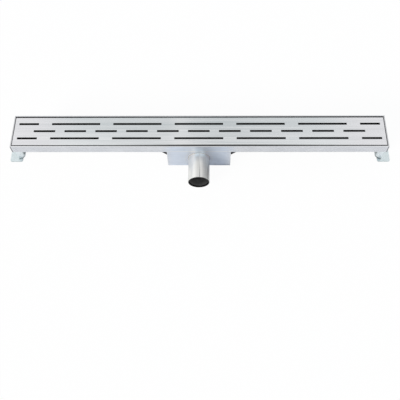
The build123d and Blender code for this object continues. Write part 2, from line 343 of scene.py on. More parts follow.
paper = bpy.data.materials.new("floor_paper")
paper.use_nodes = True
paper.cycles.emission_sampling = "NONE"
matt = paper.node_tree.nodes["Principled BSDF"]
matt.inputs["Base Color"].default_value = as_colour(PAPER)
matt.inputs["Roughness"].default_value = PAPER_ROUGHNESS
matt.inputs["Specular IOR Level"].default_value = 0.0
lit = Wire(matt.outputs["BSDF"])
white = lit.add("ShaderNodeEmission", None, {"Color": as_colour(WHITE), "Strength": 1.0})
black = lit.add("ShaderNodeEmission", None, {"Strength": 0.0})
ground = lit.add("ShaderNodeTexCoord", out="Object")
in_metal = ray_is(lit, "Glossy", "Transmission")
left_card, right_card = (card_mask(ground, side * CARD_PLACE) for side in (-1, 1))
white_share = FLOOR_WHITE_MIRRORED + (CARD_WHITE - FLOOR_WHITE_MIRRORED) * left_card
share = FLOOR_WHITE_SEEN * ray_is(lit, "Camera") + in_metal * white_share
pale = lit.add("ShaderNodeMixShader", None, {0: share, 1: lit, 2: white})
blend = lit.add("ShaderNodeMixShader", None, {0: CARD_BLACK * in_metal * right_card, 1: pale, 2: black})
paper.node_tree.links.new(blend.socket, paper.node_tree.nodes["Material Output"].inputs["Surface"])
floor_mesh.materials.append(paper)
print("floor paper:", len(paper.node_tree.nodes), "nodes")

# %% Key lamp
KEY_HEIGHT = math.radians(25)   # above the horizon
KEY_TURN = math.radians(47)     # from the trough's left end towards its front
KEY_SPREAD = math.radians(24)   # width of the lamp as the drain sees it, for soft shadows
KEY_STRENGTH = 3.3
KEY_COLOUR = (1.0, 0.96, 0.88)

key = bpy.data.lights.new("key_lamp", "SUN")
key.angle = KEY_SPREAD
key.energy = KEY_STRENGTH
key.color = KEY_COLOUR
key_holder = bpy.data.objects.new("key_lamp", key)
sideways = math.cos(KEY_HEIGHT)
shine = Vector((sideways * math.cos(KEY_TURN), sideways * math.sin(KEY_TURN), -math.sin(KEY_HEIGHT)))
key_holder.rotation_euler = shine.to_track_quat("-Z", "Y").to_euler()
key_holder.visible_glossy = False
bpy.context.scene.collection.objects.link(key_holder)
print("key lamp shines along", [round(c, 2) for c in shine])

# %% [markdown]
# ## Brushed grate
# The grate is ground lengthwise with an abrasive belt, which leaves fine scratches of very
# different lengths all in one direction. Noise that is squeezed across the scratches and
# pulled out along them gives that, at three sizes: hair-fine lines, wider streaks, and soft
# bands where the belt pressed harder. They show most in the middle third, where the belt also
# left a lighter place left of the middle and a darker one right of it. Over this lies painted
# sheen: the front is painted lighter than the back, the middle third lighter apart from its
# rear, and the ends paler. The slots' cut walls, the skirts and the underside are painted near
# black as shade, and so is a strip along the front fold in the middle. Painted light brightens
# the skirts and the rim where the gap should look narrower: at the back in the middle and at
# the front towards the ends.

# %% Streaks of the belt
FINE_LINES = (9, 2600, 2600)   # waves per metre along X, Y and Z
WIDE_STREAKS = (3, 480, 480)
SOFT_BANDS = (1.6, 170, 170)
STREAKED_MIDDLE = (0.0, 0.5 * TROUGH_END)   # along X: middle and reach
LIGHT_PLACE = (-34 * MM, 30 * MM)
DARK_PLACE = (40 * MM, 75 * MM)


def brushed_streaks(place):
    """The fine lines, and a sum of lines, streaks and bands about one half, stronger in the middle."""
    fine = place.noise(FINE_LINES, detail=3.0, rough=0.65)
    wide = place.noise(WIDE_STREAKS, detail=2.0)
    bands = place.noise(SOFT_BANDS, detail=1.0)
    x = place.axis("X")
    gain = 1.4 + 1.3 * x.near(*STREAKED_MIDDLE)
    pressed = 0.10 * x.near(*LIGHT_PLACE) - 0.06 * x.near(*DARK_PLACE)
    return fine, 0.5 + pressed + gain * (0.35 * fine + 0.25 * wide - 0.10 * bands - 0.26)


print("streaks of the belt ready")

# %% Painted light where the gap should look narrow
# Painted light: where this mask is 1, the skirts, the rim and the trough's inside are lighter, so the
# dark gap looks narrower.
FRONT_LEFT_GAP_LIGHT = (0.0, -0.75 * TROUGH_END)   # along X: start and full
FRONT_RIGHT_GAP_LIGHT = (0.2 * TROUGH_END, 0.9 * TROUGH_END)
REAR_GAP_LIGHT = (-20 * MM, 0.35 * TROUGH_END)     # along X: middle and reach


def front_half(y):
    """0 in the rear half of the drain, rising to 1 towards its front wall."""
    return y.rise(0.0, -0.5 * WALL)


def painted_gap_light(x, y):
    """1 where the gap is painted light: at the front towards the ends, at the back in the middle."""
    front = front_half(y)
    ends = x.rise(*FRONT_LEFT_GAP_LIGHT) + 0.6 * x.rise(*FRONT_RIGHT_GAP_LIGHT)
    return front * ends + (1 - front) * (0.4 + 0.6 * x.near(*REAR_GAP_LIGHT))


print("rub marks ready")

# %% Ground top of the grate, with painted sheen
GRATE_DARK = (0.475, 0.515, 0.53)
GRATE_LIGHT = (0.705, 0.715, 0.725)
END_SHEEN_DARK = (0.51, 0.515, 0.535)   # towards the ends: painted sheen, paler for their brighter reflection
END_SHEEN_LIGHT = (0.712, 0.712, 0.727)
END_SHEEN_FROM = (0.6 * TROUGH_END, 0.9 * TROUGH_END)
PAINTED_FRONT_SHEEN = 0.17                               # painted sheen: how much lighter the front is painted than the back
BACK_TO_FRONT = (0.9 * WALL, -0.9 * WALL)
PAINTED_MIDDLE_SHEEN = 0.07                        # painted sheen: how much lighter the middle third is painted, apart from its rear
MIDDLE_THIRD = (0.0, 0.35 * TROUGH_END)
REAR_SPARED = (0.6 * WALL, 0.35 * WALL)
STRIP_START = (-0.45 * TROUGH_END, 0.0)   # the strip painted dark as shade, along X: from none to full
STRIP_END = (0.95 * TROUGH_END, 0.15 * TROUGH_END)
STRIP_WIDTH = (1.9 * MM, 0.8 * MM)        # from the grate's front edge: from none to full


def ground_and_sheen(x, y, streak):
    """Streaks from dark to light, with painted sheen: lighter to the front and in the middle, paler
    ends.
    """
    ends = x.size().rise(*END_SHEEN_FROM)
    front_sheen = PAINTED_FRONT_SHEEN * (1 - 0.85 * ends) * (y.rise(*BACK_TO_FRONT) - 0.5)
    middle_sheen = PAINTED_MIDDLE_SHEEN * x.near(*MIDDLE_THIRD) * y.rise(*REAR_SPARED)
    polish = (streak + front_sheen + middle_sheen).rise(0.22, 0.78)
    return ends.colour(polish.colour(GRATE_DARK, GRATE_LIGHT), polish.colour(END_SHEEN_DARK, END_SHEEN_LIGHT))


def painted_gap_shade(x, y):
    """1 on a strip along the front fold, painted dark as shade in the gap."""
    from_edge = y + GRATE_EDGE
    return x.rise(*STRIP_START) * x.rise(*STRIP_END) * from_edge.rise(*STRIP_WIDTH)


print("ground steel ready")

# %% Finish of the grate
# Painted shade: skirts, underside and slot walls are coloured near black.
SKIRT_SHADE_DARK = (0.09, 0.092, 0.095)
SKIRT_SHADE_LIGHT = (0.14, 0.142, 0.145)
SLOT_SHADE_DARK = (0.015, 0.015, 0.016)
SLOT_SHADE_LIGHT = (0.05, 0.05, 0.05)
GAP_LIGHT_DEPTH = 9 * MM                              # how far down the skirts the painted light reaches
FOLD = (RIM - 0.55 * MM, RIM - 0.05 * MM)       # height where the ground fold starts and is full
SLOT_ROWS = (0.85 * WALL, 0.84 * WALL)          # the slots lie inside this, the skirts outside
SCRATCH_DEPTH = 0.02 * MM


def grate_finish():
    """Ground top and folds, with skirts, underside and slot walls painted near black as shade."""
    place, facing = start_finish("grate_steel", Metallic=1.0)
    x, y, z = place.axes()
    fine, streak = brushed_streaks(place)
    upright = facing.axis("Z")
    top = upright.rise(0.2, 0.8)
    wall = upright.size().rise(0.35, 0.1)
    slot_wall = wall * facing.axis("Y").size().rise(0.5, 0.9) * y.size().rise(*SLOT_ROWS)
    fold = (z + GAP_LIGHT_DEPTH * painted_gap_light(x, y)).rise(*FOLD)
    skirt_shade = place.noise((60, 60, 60)).colour(SKIRT_SHADE_DARK, SKIRT_SHADE_LIGHT)
    slot_shade = place.noise((2500, 2500, 160)).colour(SLOT_SHADE_DARK, SLOT_SHADE_LIGHT)
    worked = top.most(wall) * fold * (1 - 0.85 * painted_gap_shade(x, y))
    skin = worked.colour(skirt_shade, ground_and_sheen(x, y, streak))
    end_finish(
        "grate_steel", streak, SCRATCH_DEPTH,
        Base_Color=slot_wall.colour(skin, slot_shade),
        Roughness=0.24 + 0.18 * fine + 0.10 * (1 - top) + 0.1 * slot_wall,
    )


grate_finish()

# %% [markdown]
# ## Rolled sheet
# Trough, end caps, sump, seat plate and strainer are made of cold-rolled sheet and left with
# its satin skin: a cloudy grey with a weak grain along the roll. Where welds were ground flush,
# at the end corners and along the sump's seam, the grinder left a lighter, finer strip. Around
# the outlet the heat of welding left straw and blue tints. The shear left the rim a duller grey,
# and the caps' edges are darker still, darkest on their sides. Round the sump the colour is
# painted cooler, for the cool shade that the sump reflects. The trough's inside is painted dark
# as shade, apart from painted light near the rim where the gap should look narrower. All of
# these are masks of distance, so they sit where the CAD has the seams.

# %% Heat tints of a weld
OUTLET_WELD = 1.5 * MM   # leg of the solid weld round the outlet's root
HEAT_TINTS = (           # colour, and middle and reach of its band from the weld's edge
    ((0.66, 0.56, 0.42), 4.2 * MM, 2.2 * MM),   # straw
    ((0.47, 0.40, 0.47), 2.4 * MM, 1.4 * MM),   # violet
    ((0.38, 0.43, 0.55), 1.2 * MM, 1.2 * MM),   # blue
)


def tinted(skin, distance, amount):
    """Skin colour with the heat tints laid over it in turn, each in its own band."""
    for colour, middle, reach in HEAT_TINTS:
        skin = (amount * distance.near(middle, reach)).colour(skin, colour)
    return skin


def from_outlet_axis(x, z):
    """Distance from the outlet's axis: the root of the two squares."""
    drop = z - OUTLET_HEIGHT
    return (x * x + drop * drop) ** 0.5


print("heat tints:", len(HEAT_TINTS))

# %% Masks of the sheet
CORNER_STRIP = (TROUGH_END - 5.5 * MM, TROUGH_END - 4 * MM)
STRIP_HALF = 2.6 * MM        # half width of a ground seam
SEAM_ENDS = (SUMP_SIDE + 2.5 * MM, SUMP_SIDE)
SIDE_TOPS = (SUMP_SEAM, SUMP_SEAM - 1.5 * MM)
SHEARED_TOP = (RIM - 0.3 * MM, RIM - 0.15 * MM)
SHEARED_SIDE = (WALL - 0.3 * MM, WALL - 0.15 * MM)
CAP_THICKNESS = (TROUGH_END - 1.05 * SHEET, TROUGH_END - 0.95 * SHEET)


def ground_strips(x, z):
    """1 on the ground welds: end corners, the sump's upper seam and its two side edges."""
    corner = x.size().rise(*CORNER_STRIP)
    seam = z.near(SUMP_SEAM, STRIP_HALF) * x.size().rise(*SEAM_ENDS)
    side = x.size().near(SUMP_SIDE, STRIP_HALF) * z.rise(*SIDE_TOPS)
    return corner.most(seam).most(side)


def sheared_edges(x, y, z):
    """Two masks of the sheet's cut edges: 1 on top of the rim, and 1 round the end caps."""
    rim = z.rise(*SHEARED_TOP)
    cap = x.size().rise(*CAP_THICKNESS) * rim.most(y.size().rise(*SHEARED_SIDE))
    return rim, cap


def between(coordinate, face):
    """1 between the inner sides of two walls whose outer faces lie at plus and minus face."""
    return coordinate.size().rise(face - 0.85 * SHEET, face - 0.95 * SHEET)


def above(z, face):
    """1 above the inner side of a floor whose lower face lies at face."""
    return z.rise(face + 0.5 * SHEET, face + 0.9 * SHEET)


def inside(x, y, z):
    """1 between the long walls, above the floor of the trough or of the sump."""
    in_trough = between(x, TROUGH_END) * above(z, UNDERSIDE)
    in_sump = between(x, SUMP_SIDE) * above(z, 0.0)
    return between(y, WALL) * in_trough.most(in_sump)


print("masks of the sheet ready")

# %% Colours of the sheet
SHEET_DARK = (0.65, 0.665, 0.70)
SHEET_LIGHT = (0.765, 0.775, 0.80)
COOL_SHADE_DARK = (0.585, 0.64, 0.73)     # round the sump: painted cool shade, which the sump reflects
COOL_SHADE_LIGHT = (0.69, 0.745, 0.835)
COOL_SHADE_EDGE = (SUMP_SIDE + 15 * MM, SUMP_SIDE - 15 * MM)
RIM_DULL = (0.57, 0.58, 0.60)
RIM_GAP_LIT = (0.665, 0.675, 0.695)
CAP_SIDE = (0.28, 0.285, 0.30)
CAP_TOP = (0.47, 0.475, 0.49)


def rolled_skin(x, grain, cloud):
    """Grain and clouds from dark to light, with painted cool shade round the sump."""
    mottle = (0.5 * grain + 0.5 * cloud).rise(*SPREAD)
    cool_shade = x.size().rise(*COOL_SHADE_EDGE)
    return cool_shade.colour(mottle.colour(SHEET_DARK, SHEET_LIGHT), mottle.colour(COOL_SHADE_DARK, COOL_SHADE_LIGHT))


def with_edges(skin, x, y, z):
    """Skin colour with the sheared rim laid over it, painted lighter where the gap should look narrow,
    and the caps' edges over both.
    """
    rim, cap = sheared_edges(x, y, z)
    rim_colour = (front_half(y) * painted_gap_light(x, y)).colour(RIM_DULL, RIM_GAP_LIT)
    return cap.colour(rim.colour(skin, rim_colour), rim.colour(CAP_SIDE, CAP_TOP))


print("colours of the sheet ready")

# %% Finish of the sheet
GROUND_DARK = (0.68, 0.70, 0.73)
GROUND_LIGHT = (0.78, 0.79, 0.81)
# Painted shade: the trough's inside is coloured near black.
INSIDE_SHADE_DARK = (0.05, 0.052, 0.055)
INSIDE_SHADE_LIGHT = (0.10, 0.103, 0.106)
GAP_LIT_INSIDE = (RIM - 13 * MM, RIM - 9 * MM)   # height where the painted light starts and is full
FRONT_FACE = (-WALL + 0.6 * MM, -WALL)
TINT_AMOUNT = 0.12
GRAIN_DEPTH = 0.03 * MM


def sheet_finish():
    """Rolled skin, ground welds, tints and sheared edges outside; inside painted near black as shade,
    with painted light near the rim.
    """
    place, _ = start_finish("sheet_steel", Metallic=1.0)
    x, y, z = place.axes()
    grain = place.noise((45, 900, 900), detail=3.0, rough=0.6)
    cloud = place.noise((30, 55, 55), detail=3.0)
    scratch = place.noise((1500, 1500, 60), detail=2.0)
    ground = ground_strips(x, z)
    polished = scratch.rise(*SPREAD).colour(GROUND_DARK, GROUND_LIGHT)
    skin = (0.8 * ground).colour(rolled_skin(x, grain, cloud), polished)
    from_weld = from_outlet_axis(x, z) - (OUTLET_R + OUTLET_WELD)
    outside = with_edges(tinted(skin, from_weld, TINT_AMOUNT * y.rise(*FRONT_FACE)), x, y, z)
    inside_shade = cloud.colour(INSIDE_SHADE_DARK, INSIDE_SHADE_LIGHT)
    # painted light near the rim, where the gap should look narrow
    painted_light = painted_gap_light(x, y) * z.rise(*GAP_LIT_INSIDE)
    end_finish(
        "sheet_steel", 0.7 * grain + 0.3 * scratch, GRAIN_DEPTH,
        Base_Color=(inside(x, y, z) * (1 - painted_light)).colour(outside, inside_shade),
        Roughness=0.30 + 0.12 * cloud + 0.06 * grain - 0.06 * ground,
    )


sheet_finish()

# %% [markdown]
# ## Outlet tube
# The outlet is drawn and seam-welded tube, polished on its outside. Drawing leaves faint
# straight lines along the tube, and turning it in the polishing wheel leaves finer rings. The
# bore is left raw and dark with scale. The sawn end and the bore near the lip are painted near
# black as shade, inside a thin bright line where the end was deburred. The left flank is
# painted brighter as a highlight. The root is painted pale: white on the left, where it runs
# further along the tube, as painted highlight, grey on the right as painted shade, and a little
# blue on the crown. The strainer's handle has the same finish, left raw.

# %% Outside of the tube
# Painted highlight on the left flank and the root's left, painted shade on the root's right.
TUBE_DARK = (0.535, 0.538, 0.525)
TUBE_LIGHT = (0.665, 0.665, 0.65)
FLANK_HIGHLIGHT_DARK = (0.80, 0.80, 0.775)
FLANK_HIGHLIGHT_LIGHT = (0.91, 0.91, 0.88)
ROOT_HIGHLIGHT = (0.99, 0.955, 0.90)
ROOT_CROWN = (0.85, 0.93, 0.955)
ROOT_SHADE = (0.56, 0.54, 0.55)
LEFT_FLANK = (-0.2 * OUTLET_R, -0.5 * OUTLET_R)
RIGHT_FLANK = (0.4 * OUTLET_R, 0.8 * OUTLET_R)
PAINTED_ROOT = (9 * MM, 1 * MM)          # distance from the weld: where the painted pale root ends and is full
PAINTED_ROOT_LEFT = (30 * MM, 6 * MM)    # the same on the left flank


def tube_outside(x, y, mottle):
    """Polished grey with a painted highlight on the left flank, and the painted pale root laid over it.
    """
    flank_highlight = x.rise(*LEFT_FLANK)
    skin = flank_highlight.colour(mottle.colour(TUBE_DARK, TUBE_LIGHT), mottle.colour(FLANK_HIGHLIGHT_DARK, FLANK_HIGHLIGHT_LIGHT))
    pale = flank_highlight.colour(x.rise(*RIGHT_FLANK).colour(ROOT_CROWN, ROOT_SHADE), ROOT_HIGHLIGHT)
    from_weld = -1 * y - (WALL + OUTLET_WELD)
    painted_root = from_weld.rise(*PAINTED_ROOT).most(flank_highlight * from_weld.rise(*PAINTED_ROOT_LEFT))
    return (0.8 * painted_root).colour(skin, pale)


print("outside of the tube ready")

# %% Finish of the tube
SCALE_DARK = (0.24, 0.24, 0.245)
SCALE_LIGHT = (0.36, 0.358, 0.355)
# Painted shade: the lip and the sawn end are coloured near black.
LIP_SHADE = (0.015, 0.015, 0.016)
SAWN_END_SHADE = (0.012, 0.012, 0.013)
BORE = (OUTLET_R - 0.7 * MM, OUTLET_R - 1.1 * MM)        # radius where the raw bore starts and is full
DEBURRED = (OUTLET_R - 0.35 * MM, OUTLET_R - 0.6 * MM)   # the bright line lies outside these
CUT_END = (MOUTH + 0.3 * MM, MOUTH + 0.1 * MM)
LIP = (MOUTH + 4.0 * MM, MOUTH + 2.0 * MM)
BEHIND_WALL = (-WALL, -WALL + SHEET)                     # only the handle lies behind the wall
DRAWING_DEPTH = 0.03 * MM


def tube_finish():
    """Lines, rings and clouds outside, scale in the bore, and the lip and sawn end painted near black as
    shade.
    """
    place, _ = start_finish("tube_steel", Metallic=1.0)
    x, y, z = place.axes()
    lines = place.noise((700, 14, 700), detail=2.0)
    rings = place.noise((25, 1900, 25), detail=2.0)
    cloud = place.noise((70, 70, 70), detail=2.0)
    mottle = (0.4 * lines + 0.35 * rings + 0.25 * cloud).rise(*SPREAD)
    scale = cloud.rise(*SPREAD).colour(SCALE_DARK, SCALE_LIGHT)
    from_axis = from_outlet_axis(x, z)
    bore = from_axis.rise(*BORE)
    sawn = y.rise(*CUT_END) * from_axis.rise(*DEBURRED)
    raw = y.rise(*LIP).colour(scale, LIP_SHADE)
    skin = bore.most(y.rise(*BEHIND_WALL)).colour(tube_outside(x, y, mottle), raw)
    end_finish(
        "tube_steel", 0.5 * lines + 0.5 * rings, DRAWING_DEPTH,
        Base_Color=sawn.colour(skin, SAWN_END_SHADE),
        Roughness=0.30 + 0.12 * rings + 0.2 * bore.most(sawn),
    )


tube_finish()

# %% [markdown]
# ## Zinc-plated feet
# The feet are bright and a little blue, which is zinc and not stainless steel. Hot-dip zinc
# freezes in flat crystals, each with its own tilt, so Voronoi cells give each crystal its own
# grey and roughness. A thin layer of clouding keeps the cells from looking like tiles. The leg's
# flat is painted dark grey as shade, and its rolled edges are painted bright as a highlight. A
# line of painted shade lies on the flange along the foot of each rolled edge, in a quarter
# circle. It is weaker on the left foot.

# %% Painted shade line on the flange
FOOT_ROLL = 10 * MM            # radius of the leg's rolled edges, and half of its flat width
SHADE_LINE_RADIUS = FOOT_ROLL + 0.8 * MM
SHADE_LINE_HALF = 3.0 * MM           # half width of the line
SHADE_LINE_LEFT = 0.30               # strength on the left foot
SHADE_LINE_RIGHT = 0.60
SHADE_LINE_ASIDE = (1.5 * MM, 0.0)   # ends of the quarter circle, from its centre along X and Y
SHADE_LINE_AHEAD = (0.0, 2 * MM)
NEAR_FLANGE = (5 * MM, 3 * MM)


def contact_shade_line(x, y, z):
    """1 near a quarter circle on the flange, about the centre of the leg's rolled edge: painted contact
    shade.
    """
    aside = x.size() - (FOOT_LEG + FOOT_ROLL)
    ahead = y.size() - FOOT_ROLL
    on_circle = ((aside * aside + ahead * ahead) ** 0.5).near(SHADE_LINE_RADIUS, SHADE_LINE_HALF)
    quarter = aside.rise(*SHADE_LINE_ASIDE) * ahead.rise(*SHADE_LINE_AHEAD)
    amount = SHADE_LINE_LEFT + (SHADE_LINE_RIGHT - SHADE_LINE_LEFT) * x.rise(-FOOT_LEG, FOOT_LEG)
    return amount * on_circle * quarter * z.rise(*NEAR_FLANGE)


print("burn line ready")

# %% Finish of the feet
ZINC_DARK = (0.505, 0.57, 0.585)
ZINC_LIGHT = (0.655, 0.72, 0.74)
# painted highlight on the rolled edges
ZINC_HIGHLIGHT = (0.86, 0.92, 0.95)
# painted shade on the leg's flat and in the line on the flange
ZINC_SHADE = (0.13, 0.145, 0.15)
CRYSTALS = 240.0                                        # per metre
LEG = (FOOT_LEG + 3.2 * MM, FOOT_LEG + 2.2 * MM)        # the leg's sheet ends between these
LEG_FLAT = (FOOT_ROLL + 5 * MM, FOOT_ROLL + 1 * MM)     # the painted shade fades out into the rolled edges
ROLL_HIGHLIGHT = (FOOT_ROLL + 2 * MM, FOOT_ROLL + 6 * MM)
SHADE_CLOUD = 8 * MM                                     # how far the clouds shift the painted shade's lower end
SHADE_UPWARD = (5 * MM, 14 * MM)
ABOVE_FLANGE = (3 * MM, 5 * MM)
CRYSTAL_DEPTH = 0.04 * MM


def foot_finish():
    """Crystals and clouds, with a painted highlight on the rolled edges and painted shade on the leg's
    flat.
    """
    place, _ = start_finish("foot_steel", Metallic=1.0)
    x, y, z = place.axes()
    cloud = place.noise((220, 220, 220), detail=3.0)
    crystal = place.cell_shade(CRYSTALS)
    zinc = (0.55 * crystal + 0.45 * cloud).rise(0.15, 0.85).colour(ZINC_DARK, ZINC_LIGHT)
    on_flat = x.size().rise(*LEG) * y.size().rise(*LEG_FLAT)
    leg_shade = on_flat * (z + SHADE_CLOUD * cloud).rise(*SHADE_UPWARD)
    painted_light = y.size().rise(*ROLL_HIGHLIGHT) * z.rise(*ABOVE_FLANGE)
    bright = (0.9 * painted_light).colour(zinc, ZINC_HIGHLIGHT)
    end_finish(
        "foot_steel", 0.4 * crystal + 0.6 * cloud, CRYSTAL_DEPTH,
        Base_Color=(0.85 * leg_shade.most(contact_shade_line(x, y, z))).colour(bright, ZINC_SHADE),
        Roughness=0.28 + 0.2 * crystal,
    )


foot_finish()

# %% [markdown]
# ## Dark gussets, rubber and moulded plastic
# The gussets were welded all round and never polished. They sit in the shade under the trough
# and are painted near black as that shade. The seals and pads are moulded rubber, matt with a
# fine grain. The trap is moulded plastic with the soft orange-peel skin of a steel mould.

# %% Finish of the gussets
# Painted shade: the gussets are coloured near black.
GUSSET_SHADE_DARK = (0.010, 0.010, 0.013)
GUSSET_SHADE_LIGHT = (0.045, 0.040, 0.037)
GUSSET_BUMP_DEPTH = 0.2 * MM


def gusset_finish():
    """Painted shade in clouds, near black, with rough spots."""
    place, _ = start_finish("dark_steel", Metallic=1.0)
    cloud = place.noise((160, 160, 160), detail=4.0, rough=0.6)
    spots = place.noise((900, 900, 900), detail=2.0)
    end_finish(
        "dark_steel", 0.6 * cloud + 0.4 * spots, GUSSET_BUMP_DEPTH,
        Base_Color=cloud.rise(*SPREAD).colour(GUSSET_SHADE_DARK, GUSSET_SHADE_LIGHT),
        Roughness=0.42 + 0.25 * spots,
    )


gusset_finish()

# %% Finishes of rubber and trap
RUBBER_DARK = (0.018, 0.018, 0.019)
RUBBER_LIGHT = (0.045, 0.045, 0.047)
RUBBER_DEPTH = 0.06 * MM
TRAP_DARK = (0.135, 0.143, 0.152)
TRAP_LIGHT = (0.175, 0.183, 0.192)
PEEL_DEPTH = 0.05 * MM


def rubber_finish():
    """Fine grain, with a pale bloom in patches."""
    place, _ = start_finish("rubber", Metallic=0.0)
    grain = place.noise((2600, 2600, 2600), detail=2.0)
    bloom = place.noise((120, 120, 120), detail=3.0)
    end_finish(
        "rubber", grain, RUBBER_DEPTH,
        Base_Color=bloom.rise(0.3, 0.75).colour(RUBBER_DARK, RUBBER_LIGHT),
        Roughness=0.62 + 0.2 * bloom,
    )


def plastic_finish():
    """Orange peel, with faint clouds where the plastic flowed."""
    place, _ = start_finish("trap_plastic", Metallic=0.0)
    peel = place.noise((700, 700, 700), detail=1.0)
    flow = place.noise((25, 25, 90), detail=3.0)
    end_finish(
        "trap_plastic", peel, PEEL_DEPTH,
        Base_Color=flow.rise(*SPREAD).colour(TRAP_DARK, TRAP_LIGHT),
        Roughness=0.36 + 0.16 * peel,
    )


rubber_finish()
plastic_finish()

# %% [markdown]
# ## Finishes onto the solids
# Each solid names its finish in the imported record, so the record decides which material goes
# where, and nothing has to be listed twice.

# %% Give each solid its finish
for part in frame["record"]["subparts"]:
    solid = nodes[part["node"]].data
    solid.materials.clear()
    solid.materials.append(finishes[part["material_slot"]])

# %% [markdown]
# ## Weld beads
# A weld is laid as a row of overlapping drops, so a bead is a round profile carried along its
# joint, swelling and sinking with each drop. As a surface it has two parameters, the way along
# the joint and the angle round the profile. A bent curve with a bevel could give the round
# profile, but not the drops.

# %% Surfaces from arrays
SHARP_FROM = math.radians(50)   # edges that turn more than this stay sharp
MERGE = 1e-7                    # points closer than this are one
SLIVER = 1e-8                   # edges shorter than this are dissolved


def grid_piece(name, points, finish):
    """Piece from points[along, round, xyz]: a quad per cell, closed where rows or ends meet."""
    rows, columns = points.shape[:2]
    index = np.arange(rows * columns).reshape(rows, columns)
    quads = np.stack([index[:-1, :-1], index[:-1, 1:], index[1:, 1:], index[1:, :-1]], axis=-1)
    mesh = bpy.data.meshes.new(name)
    mesh.from_pydata(points.reshape(-1, 3).tolist(), [], quads.reshape(-1, 4).tolist())
    work = bmesh.new()
    work.from_mesh(mesh)
    bmesh.ops.remove_doubles(work, verts=work.verts, dist=MERGE)
    bmesh.ops.dissolve_degenerate(work, edges=work.edges, dist=SLIVER)
    bmesh.ops.recalc_face_normals(work, faces=work.faces)
    work.to_mesh(mesh)
    work.free()
    mesh.shade_smooth()
    mesh.set_sharp_from_angle(angle=SHARP_FROM)
    mesh.materials.append(finish)
    piece = bpy.data.objects.new(name, mesh)
    bpy.context.scene.collection.objects.link(piece)
    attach(piece, "root")
    print(f"piece {name}: {len(mesh.polygons)} faces")


print("grid pieces ready")

# %% Bead along a path
DROP = 2.2 * MM       # length of one drop of weld
DROP_SWELL = 0.10     # how much a drop swells the bead
BEAD_POINTS = 15      # round the profile, the last one on the first
BEAD_TAPER = 1.5      # length of a tapered end, in radii of the bead


def bead(path, side_a, side_b, radius, closed):
    """Round profile on a path: path + radius * swell * (cos(v) * side_a + sin(v) * side_b).

    The swell rises and falls once per drop, and an open bead shrinks to a point at its ends.
    """
    steps = np.linalg.norm(np.diff(path, axis=0), axis=1)
    length = np.concatenate([[0.0], np.cumsum(steps)])
    drops = max(1, round(length[-1] / DROP))
    phase = length / length[-1]
    swell = 1.0 + DROP_SWELL * (np.abs(np.sin(np.pi * drops * phase)) - 0.5)
    if not closed:
        to_end = np.minimum(phase, 1 - phase) * length[-1]
        swell = swell * np.sqrt(np.clip(to_end / (BEAD_TAPER * radius), 0, 1))
    turn = np.linspace(0.0, 2 * np.pi, BEAD_POINTS)
    turn[-1] = 0.0
    turn = turn[None, :, None]
    ring = np.cos(turn) * side_a[:, None, :] + np.sin(turn) * side_b[:, None, :]
    return path[:, None, :] + radius * swell[:, None, None] * ring


print("bead formula ready")

# %% Finishes of beads and seam
BEAD_DARK = (0.20, 0.21, 0.225)
BEAD_LIGHT = (0.28, 0.29, 0.305)
BEAD_STAIN = (0.27, 0.25, 0.225)
SEAM_DARK = (0.20, 0.21, 0.215)
SEAM_POLISHED = (MOUTH, -WALL - 10 * MM)
FROST_DEPTH = 0.06 * MM


def bead_finish():
    """Dull frosted grey with patches of a straw stain."""
    place, _ = start_finish("bead_steel", Metallic=1.0)
    cloud = place.noise((260, 260, 260), detail=3.0)
    frost = place.noise((1400, 1400, 1400), detail=2.0)
    grey = cloud.rise(*SPREAD).colour(BEAD_DARK, BEAD_LIGHT)
    end_finish(
        "bead_steel", frost, FROST_DEPTH,
        Base_Color=(0.35 * cloud.rise(0.45, 0.7)).colour(grey, BEAD_STAIN),
        Roughness=0.36 + 0.22 * frost,
    )


def seam_finish():
    """Dark at the mouth, and polished away to the tube's own grey towards the root."""
    place, _ = start_finish("seam_steel", Metallic=1.0)
    frost = place.noise((1400, 300, 1400), detail=2.0)
    polished = place.axis("Y").rise(*SEAM_POLISHED)
    end_finish(
        "seam_steel", frost, FROST_DEPTH,
        Base_Color=polished.colour(SEAM_DARK, TUBE_LIGHT),
        Roughness=0.32 + 0.16 * frost,
    )


bead_finish()
seam_finish()

# %% [markdown]
# ### Round the outlet's root
# This bead shows in the front view as a thin dull arc over the tube. It fills the corner between
# tube and wall, so its centre line is a circle just off both.

# %% Bead round the outlet
ROOT_STAND = 0.55 * MM
ROOT_RADIUS = 0.55 * MM
ROOT_POINTS = 361   # round the tube, the last one on the first


def ring_path(radius, y, count):
    """Circle about the outlet's axis at one depth, with its outward and forward directions."""
    angle = np.linspace(0.0, 2 * np.pi, count)
    angle[-1] = 0.0
    outward = np.stack([np.cos(angle), np.zeros(count), np.sin(angle)], axis=1)
    path = radius * outward + np.array([0.0, y, OUTLET_HEIGHT])
    forward = np.tile([0.0, -1.0, 0.0], (count, 1))
    return path, outward, forward


path, outward, forward = ring_path(OUTLET_R + ROOT_STAND, -WALL - ROOT_STAND, ROOT_POINTS)
points = bead(path, outward, forward, ROOT_RADIUS, closed=True)
grid_piece("outlet_root_weld", points, finishes["bead_steel"])

# %% [markdown]
# ### Along the tube's crown
# Seam-welded tube has one straight weld. Here it lies just right of the crown, where the picture
# shows it as a thin dark line. It is a low ridge, so the profile is a flat hump over the tube's
# own curve.

# %% Seam of the tube
SEAM_TURN = math.radians(6)     # from the crown to the right
SEAM_HALF_WIDTH = 1.0 * MM
SEAM_HEIGHT = 0.26 * MM
SEAM_SINK = 0.12 * MM
SEAM_FROM = MOUTH + 0.05 * MM
SEAM_TO = -WALL - 1.4 * MM      # just inside the solid weld round the root
RIPPLE = 0.15                   # share of the height
RIPPLE_LENGTH = 0.9 * MM        # along the tube, for each radian of the sine
SEAM_ROWS = 240
SEAM_COLUMNS = 9


